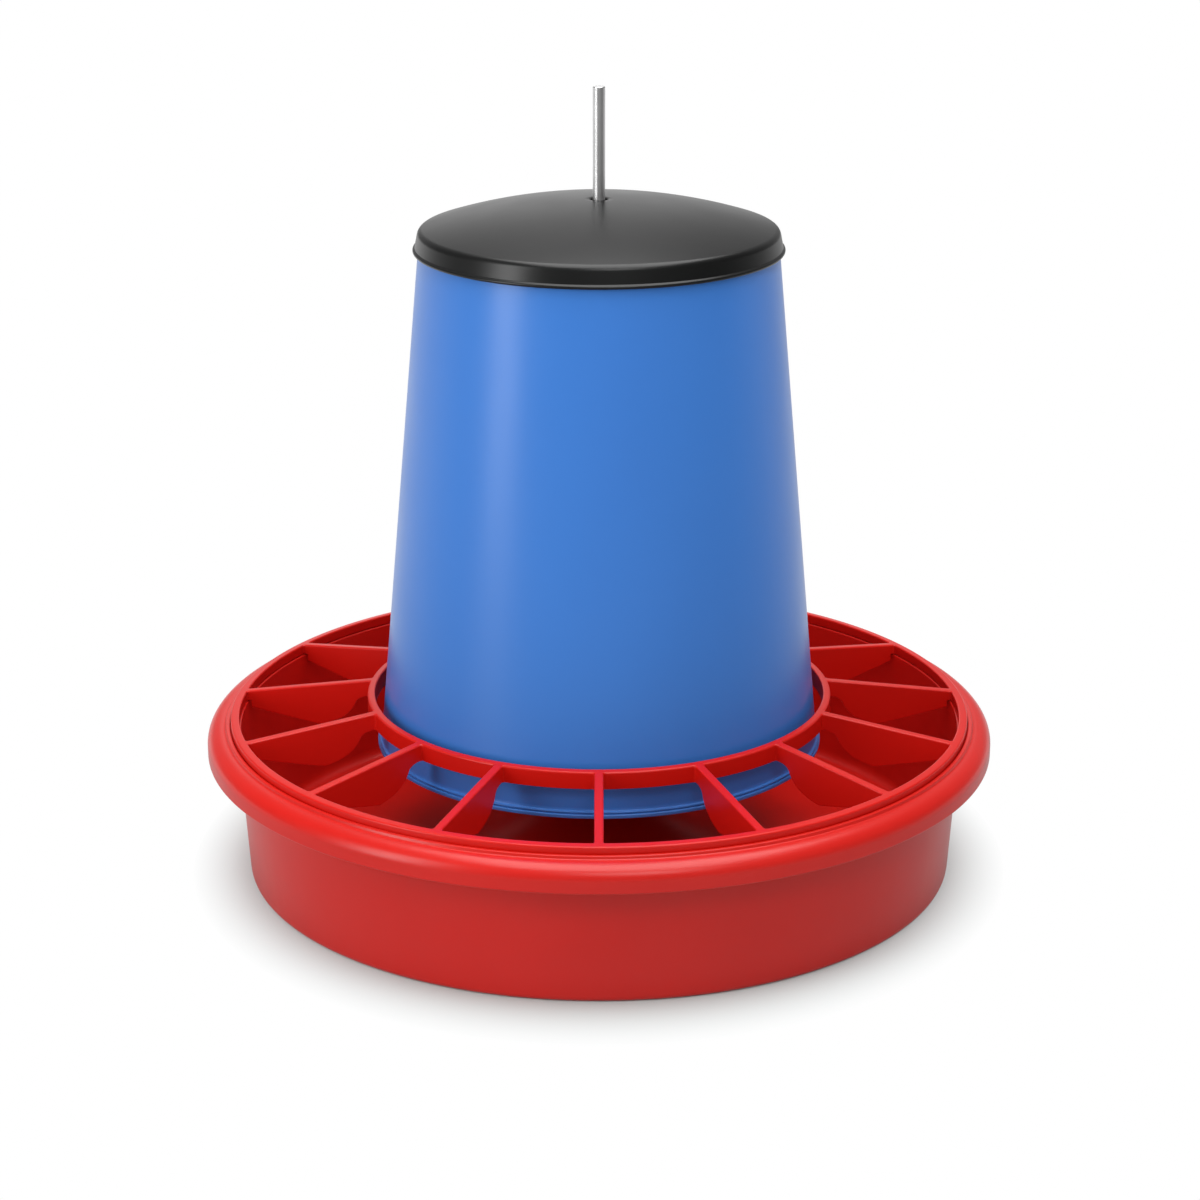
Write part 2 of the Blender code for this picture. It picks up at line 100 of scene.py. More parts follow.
def add_node(tree, kind, settings=None, sockets=None, out=0):
    """Adds a node with its settings and what goes into its sockets, and returns one output."""
    made = tree.nodes.new(kind)
    for name, value in (settings or {}).items():
        setattr(made, name, value)
    for key, value in (sockets or {}).items():
        target = socket_called(made.inputs, key)
        source = value.socket if isinstance(value, Wire) else value
        if isinstance(source, bpy.types.NodeSocket):
            tree.links.new(source, target)
        else:
            target.default_value = source
    return socket_called(made.outputs, out) if made.outputs else None


class Paint:
    """A node tree that is built by calls, for a material or for the world."""

    def __init__(self, owner):
        owner.use_nodes = True
        self.owner = owner
        self.tree = owner.node_tree
        self.tree.nodes.clear()

    def node(self, kind, settings=None, sockets=None, out=0):
        made = add_node(self.tree, kind, settings, sockets, out)
        return Wire(self, made) if made else None

    def place(self, scale=(1.0, 1.0, 1.0)):
        """Object coordinates, stretched."""
        where = self.node("ShaderNodeTexCoord", out="Object")
        return self.node("ShaderNodeMapping", None, {"Vector": where, "Scale": scale})

    def noise(self, where, scale, detail=2.0, roughness=0.5):
        return self.node("ShaderNodeTexNoise", None,
                         {"Vector": where, "Scale": scale, "Detail": detail, "Roughness": roughness})

    def remap(self, value, low, high, to_low, to_high):
        return self.node("ShaderNodeMapRange", {"clamp": True}, {
            "Value": value,
            "From Min": low,
            "From Max": high,
            "To Min": to_low,
            "To Max": to_high,
        })

    def blend_color(self, factor, first, second):
        sockets = {"Factor_Float": factor, "A_Color": first, "B_Color": second}
        return self.node("ShaderNodeMix", {"data_type": "RGBA"}, sockets, out="Result_Color")

    def bump(self, height, distance, under=None):
        """Relief of a real depth, laid over another one if it is given."""
        sockets = {"Strength": 1.0, "Distance": distance, "Height": height}
        if under:
            sockets["Normal"] = under
        return self.node("ShaderNodeBump", None, sockets)

    def ray(self, kind):
        """1 where the ray that asks is of this kind, and 0 elsewhere."""
        return self.node("ShaderNodeLightPath", out="Is " + kind + " Ray")

    def axis(self, where, letter):
        return self.node("ShaderNodeSeparateXYZ", None, {"Vector": where}, out=letter)

    def surface(self, sockets):
        """Ends a material with its main shader."""
        shader = self.node("ShaderNodeBsdfPrincipled", None, sockets)
        self.node("ShaderNodeOutputMaterial", None, {"Surface": shader})
        return self.owner


def rgb(red, green, blue):
    return (red, green, blue, 1.0)


def shade(colour, share):
    """A colour that is darkened to a share of itself."""
    return rgb(*[share * c for c in colour])


print("paint box ready:", [name for name in vars(Paint) if not name.startswith("_")])

# %% [markdown]
# ## Moulded plastic
# The pan and grid are glossy red, the hopper is a semi-gloss blue, and the lid is a satin black
# with a fine spark-eroded grain. They differ in numbers and not in kind, so one function makes
# all four. A new moulding is never perfectly even: the colour drifts a little where the melt
# flowed, the gloss changes from place to place, and the skin has a faint orange-peel.
#
# Each roughness stays above about 0.28. Below that, the removal of noise from a render takes a
# surface for a mirror, and a gloss that wanders across the border shows false lines.

# %% One recipe for four plastics
# How fine each pattern is: a larger number is finer
FLOW = 9.0
WIPES = 30.0
PEEL = 150.0
GRAIN = 2600.0
GLOSS_SWING = 0.08


def moulded_plastic(name, colour, deep, rough, shine, peel, grain=0.0):
    """Moulded plastic: a drifting colour, an uneven gloss, and a skin of peel and perhaps grain."""
    paint = Paint(bpy.data.materials.new(name))
    where = paint.place()
    flow = paint.noise(paint.place((1.0, 1.0, 0.35)), FLOW)
    drift = paint.remap(flow, 0.3, 0.7, 0.0, 1.0)
    wipe = paint.noise(where, WIPES)
    skin = paint.bump(paint.noise(where, PEEL, 0.0), peel)
    if grain:
        skin = paint.bump(paint.noise(where, GRAIN, 2.0, 0.7), grain, skin)
    return paint.surface({
        "Base Color": paint.blend_color(drift, rgb(*colour), rgb(*deep)),
        "Roughness": rough + (wipe - 0.5) * GLOSS_SWING,
        "IOR": 1.5,
        "Specular IOR Level": shine,
        "Normal": skin,
    })


pan_red = moulded_plastic(
    "pan_red", (0.59, 0.0095, 0.0055), (0.55, 0.0085, 0.0048),
    rough=0.315, shine=0.44, peel=2.0e-5)
grid_red = moulded_plastic(
    "grid_red", (0.61, 0.0085, 0.0045), (0.57, 0.0075, 0.0040),
    rough=0.315, shine=0.32, peel=1.5e-5)
hopper_blue = moulded_plastic(
    "hopper_blue", (0.041, 0.182, 0.58), (0.038, 0.169, 0.55),
    rough=0.32, shine=0.44, peel=2.0e-5)
lid_black = moulded_plastic(
    "lid_black", (0.008, 0.008, 0.008), (0.006, 0.006, 0.006),
    rough=0.325, shine=0.44, peel=1.0e-5, grain=5.0e-6)
print("plastics:", [m.name for m in (pan_red, grid_red, hopper_blue, lid_black)])

# %% [markdown]
# ## Steel
# The rod is bright drawn bar: fine lines run along it, because it was pulled through a die.
# A noise that is stretched along Z gives those lines. They are too shallow to show as grooves,
# so they change only the gloss. The washers, nuts and clip are zinc plated, which is duller,
# slightly blue, and spangled in small patches.

# %% Drawn bar and zinc plate
DRAWN_LINES = 900.0
LINE_STRETCH = 0.004
PATCHES = 60.0
SPANGLES = 900.0
PITS = 2400.0
PIT_DEPTH = 5.0e-6


def drawn_steel(name, colour, rough):
    paint = Paint(bpy.data.materials.new(name))
    lines = paint.noise(paint.place((1.0, 1.0, LINE_STRETCH)), DRAWN_LINES, 1.0)
    tint = paint.remap(paint.noise(paint.place(), PATCHES, 3.0), 0.3, 0.7, 0.0, 1.0)
    return paint.surface({
        "Base Color": paint.blend_color(tint, rgb(*colour), shade(colour, 0.88)),
        "Metallic": 1.0,
        "Roughness": rough + (lines - 0.5) * 0.10,
    })


def zinc_plate(name, colour, rough):
    paint = Paint(bpy.data.materials.new(name))
    where = paint.place()
    cells = paint.node("ShaderNodeTexVoronoi", None, {"Vector": where, "Scale": SPANGLES}, out="Color")
    spangle = paint.node("ShaderNodeSeparateColor", None, {"Color": cells}, out="Red")
    return paint.surface({
        "Base Color": paint.blend_color(spangle, rgb(*colour), shade(colour, 0.82)),
        "Metallic": 1.0,
        "Roughness": rough + (spangle - 0.5) * 0.14,
        "Normal": paint.bump(paint.noise(where, PITS, 3.0, 0.7), PIT_DEPTH),
    })


drawn_bar = drawn_steel("drawn_bar", (0.84, 0.84, 0.84), 0.42)
zinc_coat = zinc_plate("zinc_coat", (0.56, 0.57, 0.59), 0.38)
print("metals:", drawn_bar.name, zinc_coat.name)

# %% [markdown]
# ## Turned sections
# Most of this product is round. A turned piece is one section, drawn as points of radius and
# height, swept about the rod's axis. Moulded edges are never sharp, so `rounded` takes the
# corners of a section, each with its own radius, and puts a small curve in place of each one.

# %% Draw a section, then sweep it
SHARP_ANGLE = math.radians(38)
WELD = 1e-7


def arc(centre, radii, start, end, count):
    """Points on an ellipse, from start to end in degrees."""
    angles = [math.radians(start + (end - start) * i / count) for i in range(count + 1)]
    return [(centre[0] + radii[0] * math.cos(a), centre[1] + radii[1] * math.sin(a)) for a in angles]


def bend(start, control, end, count):
    """Points on a quadratic curve that is pulled towards a control point."""
    points = []
    for i in range(count + 1):
        t = i / count
        weights = ((1 - t) ** 2, 2 * t * (1 - t), t ** 2)
        pulls = list(zip(weights, (start, control, end)))
        points.append(tuple(sum(w * p[k] for w, p in pulls) for k in (0, 1)))
    return points


def rounded(corners, count=4):
    """A closed section from (radius, height, rounding) corners. A rounding of 0 keeps a point."""
    section = []
    for i, (r, z, rounding) in enumerate(corners):
        here = Vector((r, z))
        before = Vector(corners[i - 1][:2]) - here
        after = Vector(corners[(i + 1) % len(corners)][:2]) - here
        if rounding == 0 or before.length == 0 or after.length == 0:
            section.append((r, z))
            continue
        half_turn = (math.pi - before.angle(after)) / 2
        reach = min(rounding * math.tan(half_turn), 0.48 * before.length, 0.48 * after.length)
        first = here + before.normalized() * reach
        last = here + after.normalized() * reach
        section += bend(first, here, last, count)
    return section


def crisp(mesh):
    """Smooth shading that stays sharp where two faces meet at more than the sharp angle."""
    mesh.shade_smooth()
    mesh.set_sharp_from_angle(angle=SHARP_ANGLE)


def plain_mesh(name, bm, material):
    """A mesh object with clean outward faces and crisp shading."""
    bmesh.ops.remove_doubles(bm, verts=bm.verts, dist=WELD)
    bmesh.ops.dissolve_degenerate(bm, edges=bm.edges, dist=0.1 * WELD)
    bmesh.ops.recalc_face_normals(bm, faces=bm.faces)
    mesh = bpy.data.meshes.new(name)
    bm.to_mesh(mesh)
    bm.free()
    mesh.materials.append(material)
    crisp(mesh)
    made = bpy.data.objects.new(name, mesh)
    bpy.context.scene.collection.objects.link(made)
    return made


def sweep(bm, section, steps, radius_at=None):
    """Adds a section that is swept about Z. radius_at may change the radius from place to place."""
    rings = []
    for k in range(steps):
        angle = math.tau * k / steps
        ring = []
        for r, z in section:
            far = radius_at(r, z, angle) if radius_at else r
            ring.append(bm.verts.new((far * math.cos(angle), far * math.sin(angle), z)))
        rings.append(ring)
    count = len(section)
    for k in range(steps):
        here, there = rings[k], rings[(k + 1) % steps]
        for i in range(count):
            j = (i + 1) % count
            bm.faces.new((here[i], here[j], there[j], there[i]))


def turned(name, section, steps, material, radius_at=None):
    bm = bmesh.new()
    sweep(bm, section, steps, radius_at)
    return plain_mesh(name, bm, material)


def apply_modifiers(piece):
    """Makes what the modifiers give into the piece's own mesh."""
    bpy.context.view_layer.update()
    graph = bpy.context.evaluated_depsgraph_get()
    final = bpy.data.meshes.new_from_object(piece.evaluated_get(graph))
    piece.modifiers.clear()
    piece.data = final


def settle(piece):
    """Weights the normals by area, so that wide faces look flat next to small roundings."""
    weigh = piece.modifiers.new("weigh_normals", "WEIGHTED_NORMAL")
    weigh.keep_sharp = True
    apply_modifiers(piece)


def dress(piece, body, slot, *nodes):
    """Settles a piece, puts it on its body, and lets it stand for its solids."""
    settle(piece)
    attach(piece, body)
    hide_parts(*nodes)
    print(piece.name, "faces:", len(piece.data.polygons), "for", ", ".join(nodes))


sample = rounded([(0.0, 0.0, 0.0), (0.02, 0.0, 0.002), (0.02, 0.02, 0.0)])
print("three corners, one of them rounded, give", len(sample), "points")

# %% [markdown]
# ## The pan
# The pan stands on a foot ring and has a rim that is rolled outwards and down, open beneath, so
# that its edge is stiff and hens don't hurt their feet on it. A low lip inside the rim holds the
# grid in place. The floor rises in the middle to a hollow cone, which spreads the feed and
# whose hub is clamped on the rod. It is a turned piece through and through.

# %% Pan section
PAN_HEIGHT = 0.0784
LEDGE_HEIGHT = 0.0767
SEAT_RADIUS = 0.1883
RIM_RADIUS = 0.200
RIM_WALL = 0.0022
RIM_LOW = 0.0633
BULGE_START = 0.1917
BULGE_RISE = 0.0076
PAN_FOOT_RADIUS = 0.1803
PAN_TOP_RADIUS = 0.1853
PAN_WALL = 0.0025
PAN_FLOOR = 0.0030
FOOT_RING_INNER = 0.1663
FOOT_RING_RISE = 0.0012
CONE_BASE = 0.078
CONE_SAG = (0.0405, 0.0156)
HUB_RADIUS = 0.014
HUB_TOP = 0.034
HUB_WALL = 0.0030
HUB_UNDER = HUB_TOP - HUB_WALL
ROD_BORE = 0.0034


def pan_wall(height):
    """Outer radius of the pan's wall at a height."""
    return PAN_FOOT_RADIUS + (PAN_TOP_RADIUS - PAN_FOOT_RADIUS) * height / LEDGE_HEIGHT


def kept(points):
    """Points of a curve that is already smooth, as corners with no rounding."""
    return [(r, z, 0.0) for r, z in points]


def pan_section():
    """Lip, rolled rim, wall, foot ring and hollow cone, then back over the floor to the ledge."""
    middle = LEDGE_HEIGHT - BULGE_RISE
    rim_inside = RIM_RADIUS - RIM_WALL
    rim_under = LEDGE_HEIGHT - RIM_WALL
    bulge = arc((BULGE_START, middle), (RIM_RADIUS - BULGE_START, BULGE_RISE), 90, 0, 28)
    channel_end = (BULGE_START - RIM_WALL, rim_under)
    channel = bend((rim_inside, middle), (rim_inside, rim_under), channel_end, 10)
    sag_inside = (CONE_SAG[0] - PAN_WALL, CONE_SAG[1] - PAN_WALL)
    cone_inside = bend((CONE_BASE, FOOT_RING_RISE), sag_inside, (HUB_RADIUS, HUB_UNDER), 16)
    cone_outside = bend((HUB_RADIUS, HUB_TOP), CONE_SAG, (CONE_BASE + HUB_WALL, PAN_FLOOR), 20)
    return rounded([
        (SEAT_RADIUS, PAN_HEIGHT, 0.0007),
        (0.1904, PAN_HEIGHT, 0.0006),
        (0.1909, 0.0769, 0.0008),
        *kept(bulge),
        (RIM_RADIUS, RIM_LOW, 0.0011),
        (rim_inside, RIM_LOW, 0.0005),
        *kept(channel),
        (pan_wall(rim_under), rim_under, 0.0016),
        (PAN_FOOT_RADIUS, 0.0, 0.0036),
        (FOOT_RING_INNER, 0.0, 0.0004),
        (FOOT_RING_INNER - FOOT_RING_RISE, FOOT_RING_RISE, 0.0006),
        *kept(cone_inside),
        (ROD_BORE, HUB_UNDER, 0.0003),
        (ROD_BORE, HUB_TOP, 0.0003),
        *kept(cone_outside),
        (pan_wall(PAN_FLOOR) - PAN_WALL, PAN_FLOOR, 0.0060),
        (pan_wall(LEDGE_HEIGHT) - PAN_WALL, LEDGE_HEIGHT, 0.0006),
        (SEAT_RADIUS, LEDGE_HEIGHT, 0.0002),
    ], 6)


pan = turned("feed_pan", pan_section(), 288, pan_red)
dress(pan, "feeder", "pan_plastic", "pan")

# %% [markdown]
# ## The feeding grid
# Fifteen vanes run from an inner ring round the hopper to an outer ring on the pan's ledge, all
# moulded in one shot. The under edge of each vane is cut away towards the middle, so that feed
# can flow round. Because the shape repeats every 24 degrees, only one sector is drawn: a vane
# and half a window on each side of it. Geometry Nodes then copies it round the rod and welds
# the copies, so the fillets where a vane meets a ring are drawn once and are all the same.

# %% Sizes of the grid
VANE_COUNT = 15
VANE_HALF = 0.0022
WINDOW_FILLET = 0.0011
EDGE = 0.0009
UNDER_EDGE = 0.0005
OUTER_RING = (0.1835, 0.1880)
INNER_RING = (0.1145, 0.1183)
OUTER_TOP = 0.0822
OUTER_LOW = 0.0770
INNER_TOP = 0.0910
INNER_LOW = 0.0818
TOP_FALL = 0.0005
VANE_STOP = 0.1813
NOTCH_SHELF = 0.0082
NOTCH_SHELF_DROP = 0.0041
NOTCH_REACH = 0.0265
NOTCH_DEPTH = 0.0163
VANE_FOOT_RISE = 0.0080
HALF_SECTOR = math.pi / VANE_COUNT


def top_height(radius):
    """Height of the grid's top: nearly flat on the rings, and a straight slope between them."""
    if radius > OUTER_RING[0]:
        return OUTER_TOP - TOP_FALL * (radius - OUTER_RING[0]) / (OUTER_RING[1] - OUTER_RING[0])
    if radius < INNER_RING[1]:
        return INNER_TOP - TOP_FALL * (radius - INNER_RING[0]) / (INNER_RING[1] - INNER_RING[0])
    share = (radius - INNER_RING[1]) / (OUTER_RING[0] - INNER_RING[1])
    return (INNER_TOP - TOP_FALL) * (1 - share) + OUTER_TOP * share


def under_outline():
    """The under edge of a vane as (radius, height), from the inner ring out to the pan's wall."""
    inner = INNER_RING[1]
    shelf = (inner + NOTCH_SHELF, INNER_LOW - NOTCH_SHELF_DROP)
    deepest = (inner + NOTCH_REACH, INNER_LOW - NOTCH_DEPTH)
    stop = (VANE_STOP, deepest[1] + VANE_FOOT_RISE)
    corner = bend((inner, INNER_LOW), (shelf[0] - 0.0010, INNER_LOW - 0.0004), shelf, 8)
    fall = bend(shelf, (shelf[0] + 0.0040, deepest[1] + 0.0030), deepest, 12)[1:]
    rise = bend(deepest, (deepest[0] + 0.0040, deepest[1] + 0.0003), stop, 6)[1:]
    return corner + fall + rise


def under_height(radius, outline):
    for (r0, z0), (r1, z1) in zip(outline, outline[1:]):
        if r0 <= radius <= r1:
            return z0 + (z1 - z0) * (radius - r0) / (r1 - r0)
    return outline[0][1] if radius < outline[0][0] else OUTER_LOW


lowest = min(z for r, z in under_outline())
print("the vanes reach down to", round(1000 * lowest, 1), "mm over the ground")


# %% [markdown]
# A sector is built as columns. Each column stands on the edge of a window, knows which way the
# plastic lies, and holds a row of points: from the flat underside, round the lower edge, up the
# wall and round the top edge. Neighbouring columns have equal rows, so faces follow by counting.

# %% Columns round a window
RING_PARTS = 8
FILLET_PARTS = 6


def window_columns(side):
    """(x, y, direction into the plastic, low height) along one side of the vane, from ring to ring."""
    outline = under_outline()
    outer, inner = OUTER_RING[0], INNER_RING[1]
    offset = VANE_HALF + WINDOW_FILLET
    inner_turn = math.asin(offset / (inner + WINDOW_FILLET))
    outer_turn = math.asin(offset / (outer - WINDOW_FILLET))
    columns = []
    for i in range(RING_PARTS):
        angle = HALF_SECTOR + (inner_turn - HALF_SECTOR) * i / RING_PARTS
        columns.append((inner * math.cos(angle), inner * math.sin(angle), angle + math.pi, INNER_LOW))
    centre_x = math.sqrt((inner + WINDOW_FILLET) ** 2 - offset ** 2)
    for i in range(FILLET_PARTS):
        angle = inner_turn + math.pi + (0.5 * math.pi - inner_turn) * i / FILLET_PARTS
        x = centre_x + WINDOW_FILLET * math.cos(angle)
        columns.append((x, offset + WINDOW_FILLET * math.sin(angle), angle, under_height(x, outline)))
    last_x = math.sqrt((outer - WINDOW_FILLET) ** 2 - offset ** 2)
    stations = [r for r, z in outline if centre_x < r < VANE_STOP - 0.0001]
    for x in [centre_x] + stations + [VANE_STOP - 0.00005]:
        columns.append((x, VANE_HALF, -math.pi / 2, under_height(x, outline)))
    columns.append((VANE_STOP, VANE_HALF, -math.pi / 2, OUTER_LOW))
    for i in range(FILLET_PARTS + 1):
        angle = -math.pi / 2 + (outer_turn + math.pi / 2) * i / FILLET_PARTS
        x = last_x + WINDOW_FILLET * math.cos(angle)
        columns.append((x, offset + WINDOW_FILLET * math.sin(angle), angle, OUTER_LOW))
    for i in range(1, RING_PARTS + 1):
        angle = outer_turn + (HALF_SECTOR - outer_turn) * i / RING_PARTS
        columns.append((outer * math.cos(angle), outer * math.sin(angle), angle, OUTER_LOW))
    return [(x, side * y, side * angle, low) for x, y, angle, low in columns]


def column_points(x, y, angle, low):
    """The points of one column, from the flat underside to the flat top."""
    into = Vector((math.cos(angle), math.sin(angle)))
    points = []
    for turn in (90, 45, 0):
        step = UNDER_EDGE * (1 - math.cos(math.radians(turn)))
        at = Vector((x, y)) + into * step
        points.append((at.x, at.y, low + UNDER_EDGE * (1 - math.sin(math.radians(turn)))))
    for turn in (0, 22.5, 45, 67.5, 90):
        step = EDGE * (1 - math.cos(math.radians(turn)))
        at = Vector((x, y)) + into * step
        points.append((at.x, at.y, top_height(at.length) - EDGE * (1 - math.sin(math.radians(turn)))))
    return points


def quads(bm, first, second):
    """Faces between two rows of points of equal length."""
    for a, b, c, d in zip(first, first[1:], second[1:], second):
        bm.faces.new((a, b, c, d))


def ring_side(bm, radius, outwards, angles, low):
    """The round side of a ring, as columns that match the windows' columns."""
    sides = []
    for angle in angles:
        sign = math.pi if outwards else 0.0
        points = column_points(radius * math.cos(angle), radius * math.sin(angle), angle + sign, low)
        sides.append([bm.verts.new(p) for p in points])
    for first, second in zip(sides, sides[1:]):
        quads(bm, first, second)
    return sides


def grid_sector():
    """One vane with half a window on each side, along +X."""
    bm = bmesh.new()
    walls = {}
    plans = {}
    for side in (1, -1):
        plans[side] = window_columns(side)
        walls[side] = [[bm.verts.new(p) for p in column_points(*column)] for column in plans[side]]
        for first, second in zip(walls[side], walls[side][1:]):
            quads(bm, first, second)
    last = len(plans[1]) - RING_PARTS
    for row in (0, -1):
        left = [wall[row] for wall in walls[1][RING_PARTS:last]]
        right = [wall[row] for wall in walls[-1][RING_PARTS:last]]
        quads(bm, left, right)
    inner_turns = [math.atan2(y, x) for x, y, angle, low in plans[1][:RING_PARTS + 1]]
    outer_turns = [math.atan2(y, x) for x, y, angle, low in plans[1][last - 1:]]
    inner_angles = inner_turns + [-a for a in reversed(inner_turns)]
    outer_angles = [-a for a in reversed(outer_turns)] + outer_turns
    inner_side = ring_side(bm, INNER_RING[0], False, inner_angles, INNER_LOW)
    outer_side = ring_side(bm, OUTER_RING[1], True, outer_angles, OUTER_LOW)
    inner_walls = walls[1][:RING_PARTS + 1] + list(reversed(walls[-1][:RING_PARTS + 1]))
    outer_walls = list(reversed(walls[-1][last - 1:])) + walls[1][last - 1:]
    for row in (0, -1):
        quads(bm, [w[row] for w in inner_walls], [s[row] for s in inner_side])
        quads(bm, [w[row] for w in outer_walls], [s[row] for s in outer_side])
    return plain_mesh("grid_sector", bm, grid_red)


print("one side of a vane has", len(window_columns(1)), "columns")


# %% [markdown]
# The tree takes a sector and a count. A point for each copy is turned by its index, the copies
# become real geometry, and a weld joins the seams. The same tree will serve wherever something
# on this feeder repeats about the rod.

# %% A Geometry Nodes tree that repeats a piece about the rod


def repeat_tree(name, material):
    """A tree with the inputs Count, First angle and Weld, which ends in real geometry."""
    tree = bpy.data.node_groups.new(name, "GeometryNodeTree")
    inputs = {"Geometry": "Geometry", "Count": "Int", "First angle": "Float", "Weld": "Float"}
    for label, kind in inputs.items():
        tree.interface.new_socket(label, in_out="INPUT", socket_type="NodeSocket" + kind)
    tree.interface.new_socket("Geometry", in_out="OUTPUT", socket_type="NodeSocketGeometry")

    def add(kind, sockets=None, settings=None):
        return add_node(tree, kind, settings, sockets)

    entry = tree.nodes.new("NodeGroupInput")
    geometry, count, first, weld = entry.outputs[:4]
    index = add("GeometryNodeInputIndex")
    share = add("ShaderNodeMath", {0: index, 1: count}, {"operation": "DIVIDE"})
    turn = add("ShaderNodeMath", {0: share, 1: math.tau, 2: first}, {"operation": "MULTIPLY_ADD"})
    euler = add("ShaderNodeCombineXYZ", {"Z": turn})
    rotation = add("FunctionNodeEulerToRotation", {"Euler": euler})
    points = add("GeometryNodePoints", {"Count": count})
    copies = add("GeometryNodeInstanceOnPoints",
                 {"Points": points, "Instance": geometry, "Rotation": rotation})
    real = add("GeometryNodeRealizeInstances", {"Geometry": copies})
    joined = add("GeometryNodeMergeByDistance", {"Geometry": real, "Distance": weld})
    coated = add("GeometryNodeSetMaterial", {"Geometry": joined, "Material": material})
    add("NodeGroupOutput", {0: coated})
    return tree


def repeat_about_rod(piece, tree, count, first_angle, weld):
    """Runs the tree on a piece, and keeps the result as a plain mesh."""
    modifier = piece.modifiers.new("repeat", "NODES")
    modifier.node_group = tree
    values = {"Count": count, "First angle": first_angle, "Weld": weld}
    for item in tree.interface.items_tree:
        if item.in_out == "INPUT" and item.name in values:
            modifier[item.identifier] = values[item.name]
    apply_modifiers(piece)


def face_outwards(piece):
    """Points the faces of a closed mesh outwards and marks its sharp edges again."""
    bm = bmesh.new()
    bm.from_mesh(piece.data)
    bmesh.ops.recalc_face_normals(bm, faces=bm.faces)
    bm.to_mesh(piece.data)
    bm.free()
    crisp(piece.data)


sector_tree = repeat_tree("sectors_about_rod", grid_red)
print(sector_tree.name, "has", len(sector_tree.nodes), "nodes")

# %% Fifteen sectors make the grid
grid = grid_sector()
grid.name = "feed_grid"
repeat_about_rod(grid, sector_tree, VANE_COUNT, -math.pi / 2, 10 * WELD)
face_outwards(grid)
dress(grid, "feeder", "grid_plastic", "grid")
print("grid reaches", round(max(v.co.length for v in grid.data.vertices), 4), "m from the origin")

# %% [markdown]
# ## The hopper
# A tapered tube, wider at the foot so that feed can't bridge inside it. A thick bead with a fine
# ridge over it stiffens the mouth at the bottom, and a narrower spigot at the top goes inside
# the lid. A cross with a hub is moulded across the top, and the hub hangs on the rod.

# %% Hopper section and its cross
HOPPER_FOOT = 0.0645
HOPPER_SHOULDER = 0.3196
HOPPER_TOP = 0.3276
HOPPER_FOOT_RADIUS = 0.1118
HOPPER_TOP_RADIUS = 0.0884
HOPPER_WALL = 0.0020
SPIGOT_RADIUS = 0.0862
RIDGE_RADIUS = 0.1129
GROOVE_RADIUS = 0.1123
BEAD_RADIUS = 0.1135
SPIDER_TOP = 0.3016
SPIDER_LOW = 0.2876
SPIDER_HUB_LOW = 0.2836
SPIDER_HUB_RADIUS = 0.0090
ARM_COUNT = 4
ARM_START = 0.0060
ARM_HALF_TOP = 0.0015
ARM_HALF_LOW = 0.0011


def hopper_radius(height):
    """Outer radius of the tapered wall at a height."""
    share = (height - HOPPER_FOOT) / (HOPPER_SHOULDER - HOPPER_FOOT)
    return HOPPER_FOOT_RADIUS + share * (HOPPER_TOP_RADIUS - HOPPER_FOOT_RADIUS)


def hopper_section():
    """Spigot, shoulder and tapered wall, the ridge, groove and bead at the foot, and the inside."""
    foot = HOPPER_FOOT
    inside = SPIGOT_RADIUS - HOPPER_WALL
    return rounded([
        (inside, HOPPER_TOP, 0.0006),
        (SPIGOT_RADIUS, HOPPER_TOP, 0.0006),
        (SPIGOT_RADIUS, HOPPER_SHOULDER, 0.0003),
        (HOPPER_TOP_RADIUS, HOPPER_SHOULDER, 0.0007),
        (hopper_radius(foot + 0.0048), foot + 0.0048, 0.0020),
        (hopper_radius(foot + 0.0036) + 0.0002, foot + 0.0036, 0.0006),
        (RIDGE_RADIUS, foot + 0.0034, 0.0004),
        (RIDGE_RADIUS, foot + 0.0026, 0.0003),
        (GROOVE_RADIUS, foot + 0.0022, 0.0003),
        (BEAD_RADIUS, foot + 0.0020, 0.0012),
        (BEAD_RADIUS, foot, 0.0007),
        (HOPPER_FOOT_RADIUS - HOPPER_WALL, foot, 0.0006),
        (HOPPER_TOP_RADIUS - HOPPER_WALL, HOPPER_SHOULDER - HOPPER_WALL, 0.0010),
        (inside, HOPPER_SHOULDER, 0.0008),
    ], 5)


def spider_arm(reach_in, reach_out):
    """One arm of the cross along +X: a rib that is thinner at its lower edge."""
    bm = bmesh.new()
    bmesh.ops.create_cube(bm, size=1.0)
    for v in bm.verts:
        half = ARM_HALF_TOP if v.co.z > 0 else ARM_HALF_LOW
        v.co.x = reach_in if v.co.x < 0 else reach_out
        v.co.y = half if v.co.y > 0 else -half
        v.co.z = SPIDER_TOP - 0.0002 if v.co.z > 0 else SPIDER_LOW
    long_edges = [e for e in bm.edges if abs(e.verts[0].co.x - e.verts[1].co.x) > 0.01]
    bmesh.ops.bevel(bm, geom=long_edges, offset=0.0005, segments=3, profile=0.5, affect="EDGES")
    return plain_mesh("spider_arm", bm, hopper_blue)


def make_hopper():
    arms = spider_arm(ARM_START, hopper_radius(SPIDER_TOP) - 0.5 * HOPPER_WALL)
    repeat_about_rod(arms, repeat_tree("arms_about_rod", hopper_blue), ARM_COUNT, math.pi / 4, WELD)
    bm = bmesh.new()
    sweep(bm, hopper_section(), 240)
    sweep(bm, rounded([
        (ROD_BORE, SPIDER_TOP, 0.0004),
        (SPIDER_HUB_RADIUS, SPIDER_TOP, 0.0008),
        (SPIDER_HUB_RADIUS, SPIDER_HUB_LOW, 0.0008),
        (ROD_BORE, SPIDER_HUB_LOW, 0.0004),
    ]), 64)
    bm.from_mesh(arms.data)
    bpy.data.objects.remove(arms)
    return plain_mesh("hopper_tube", bm, hopper_blue)


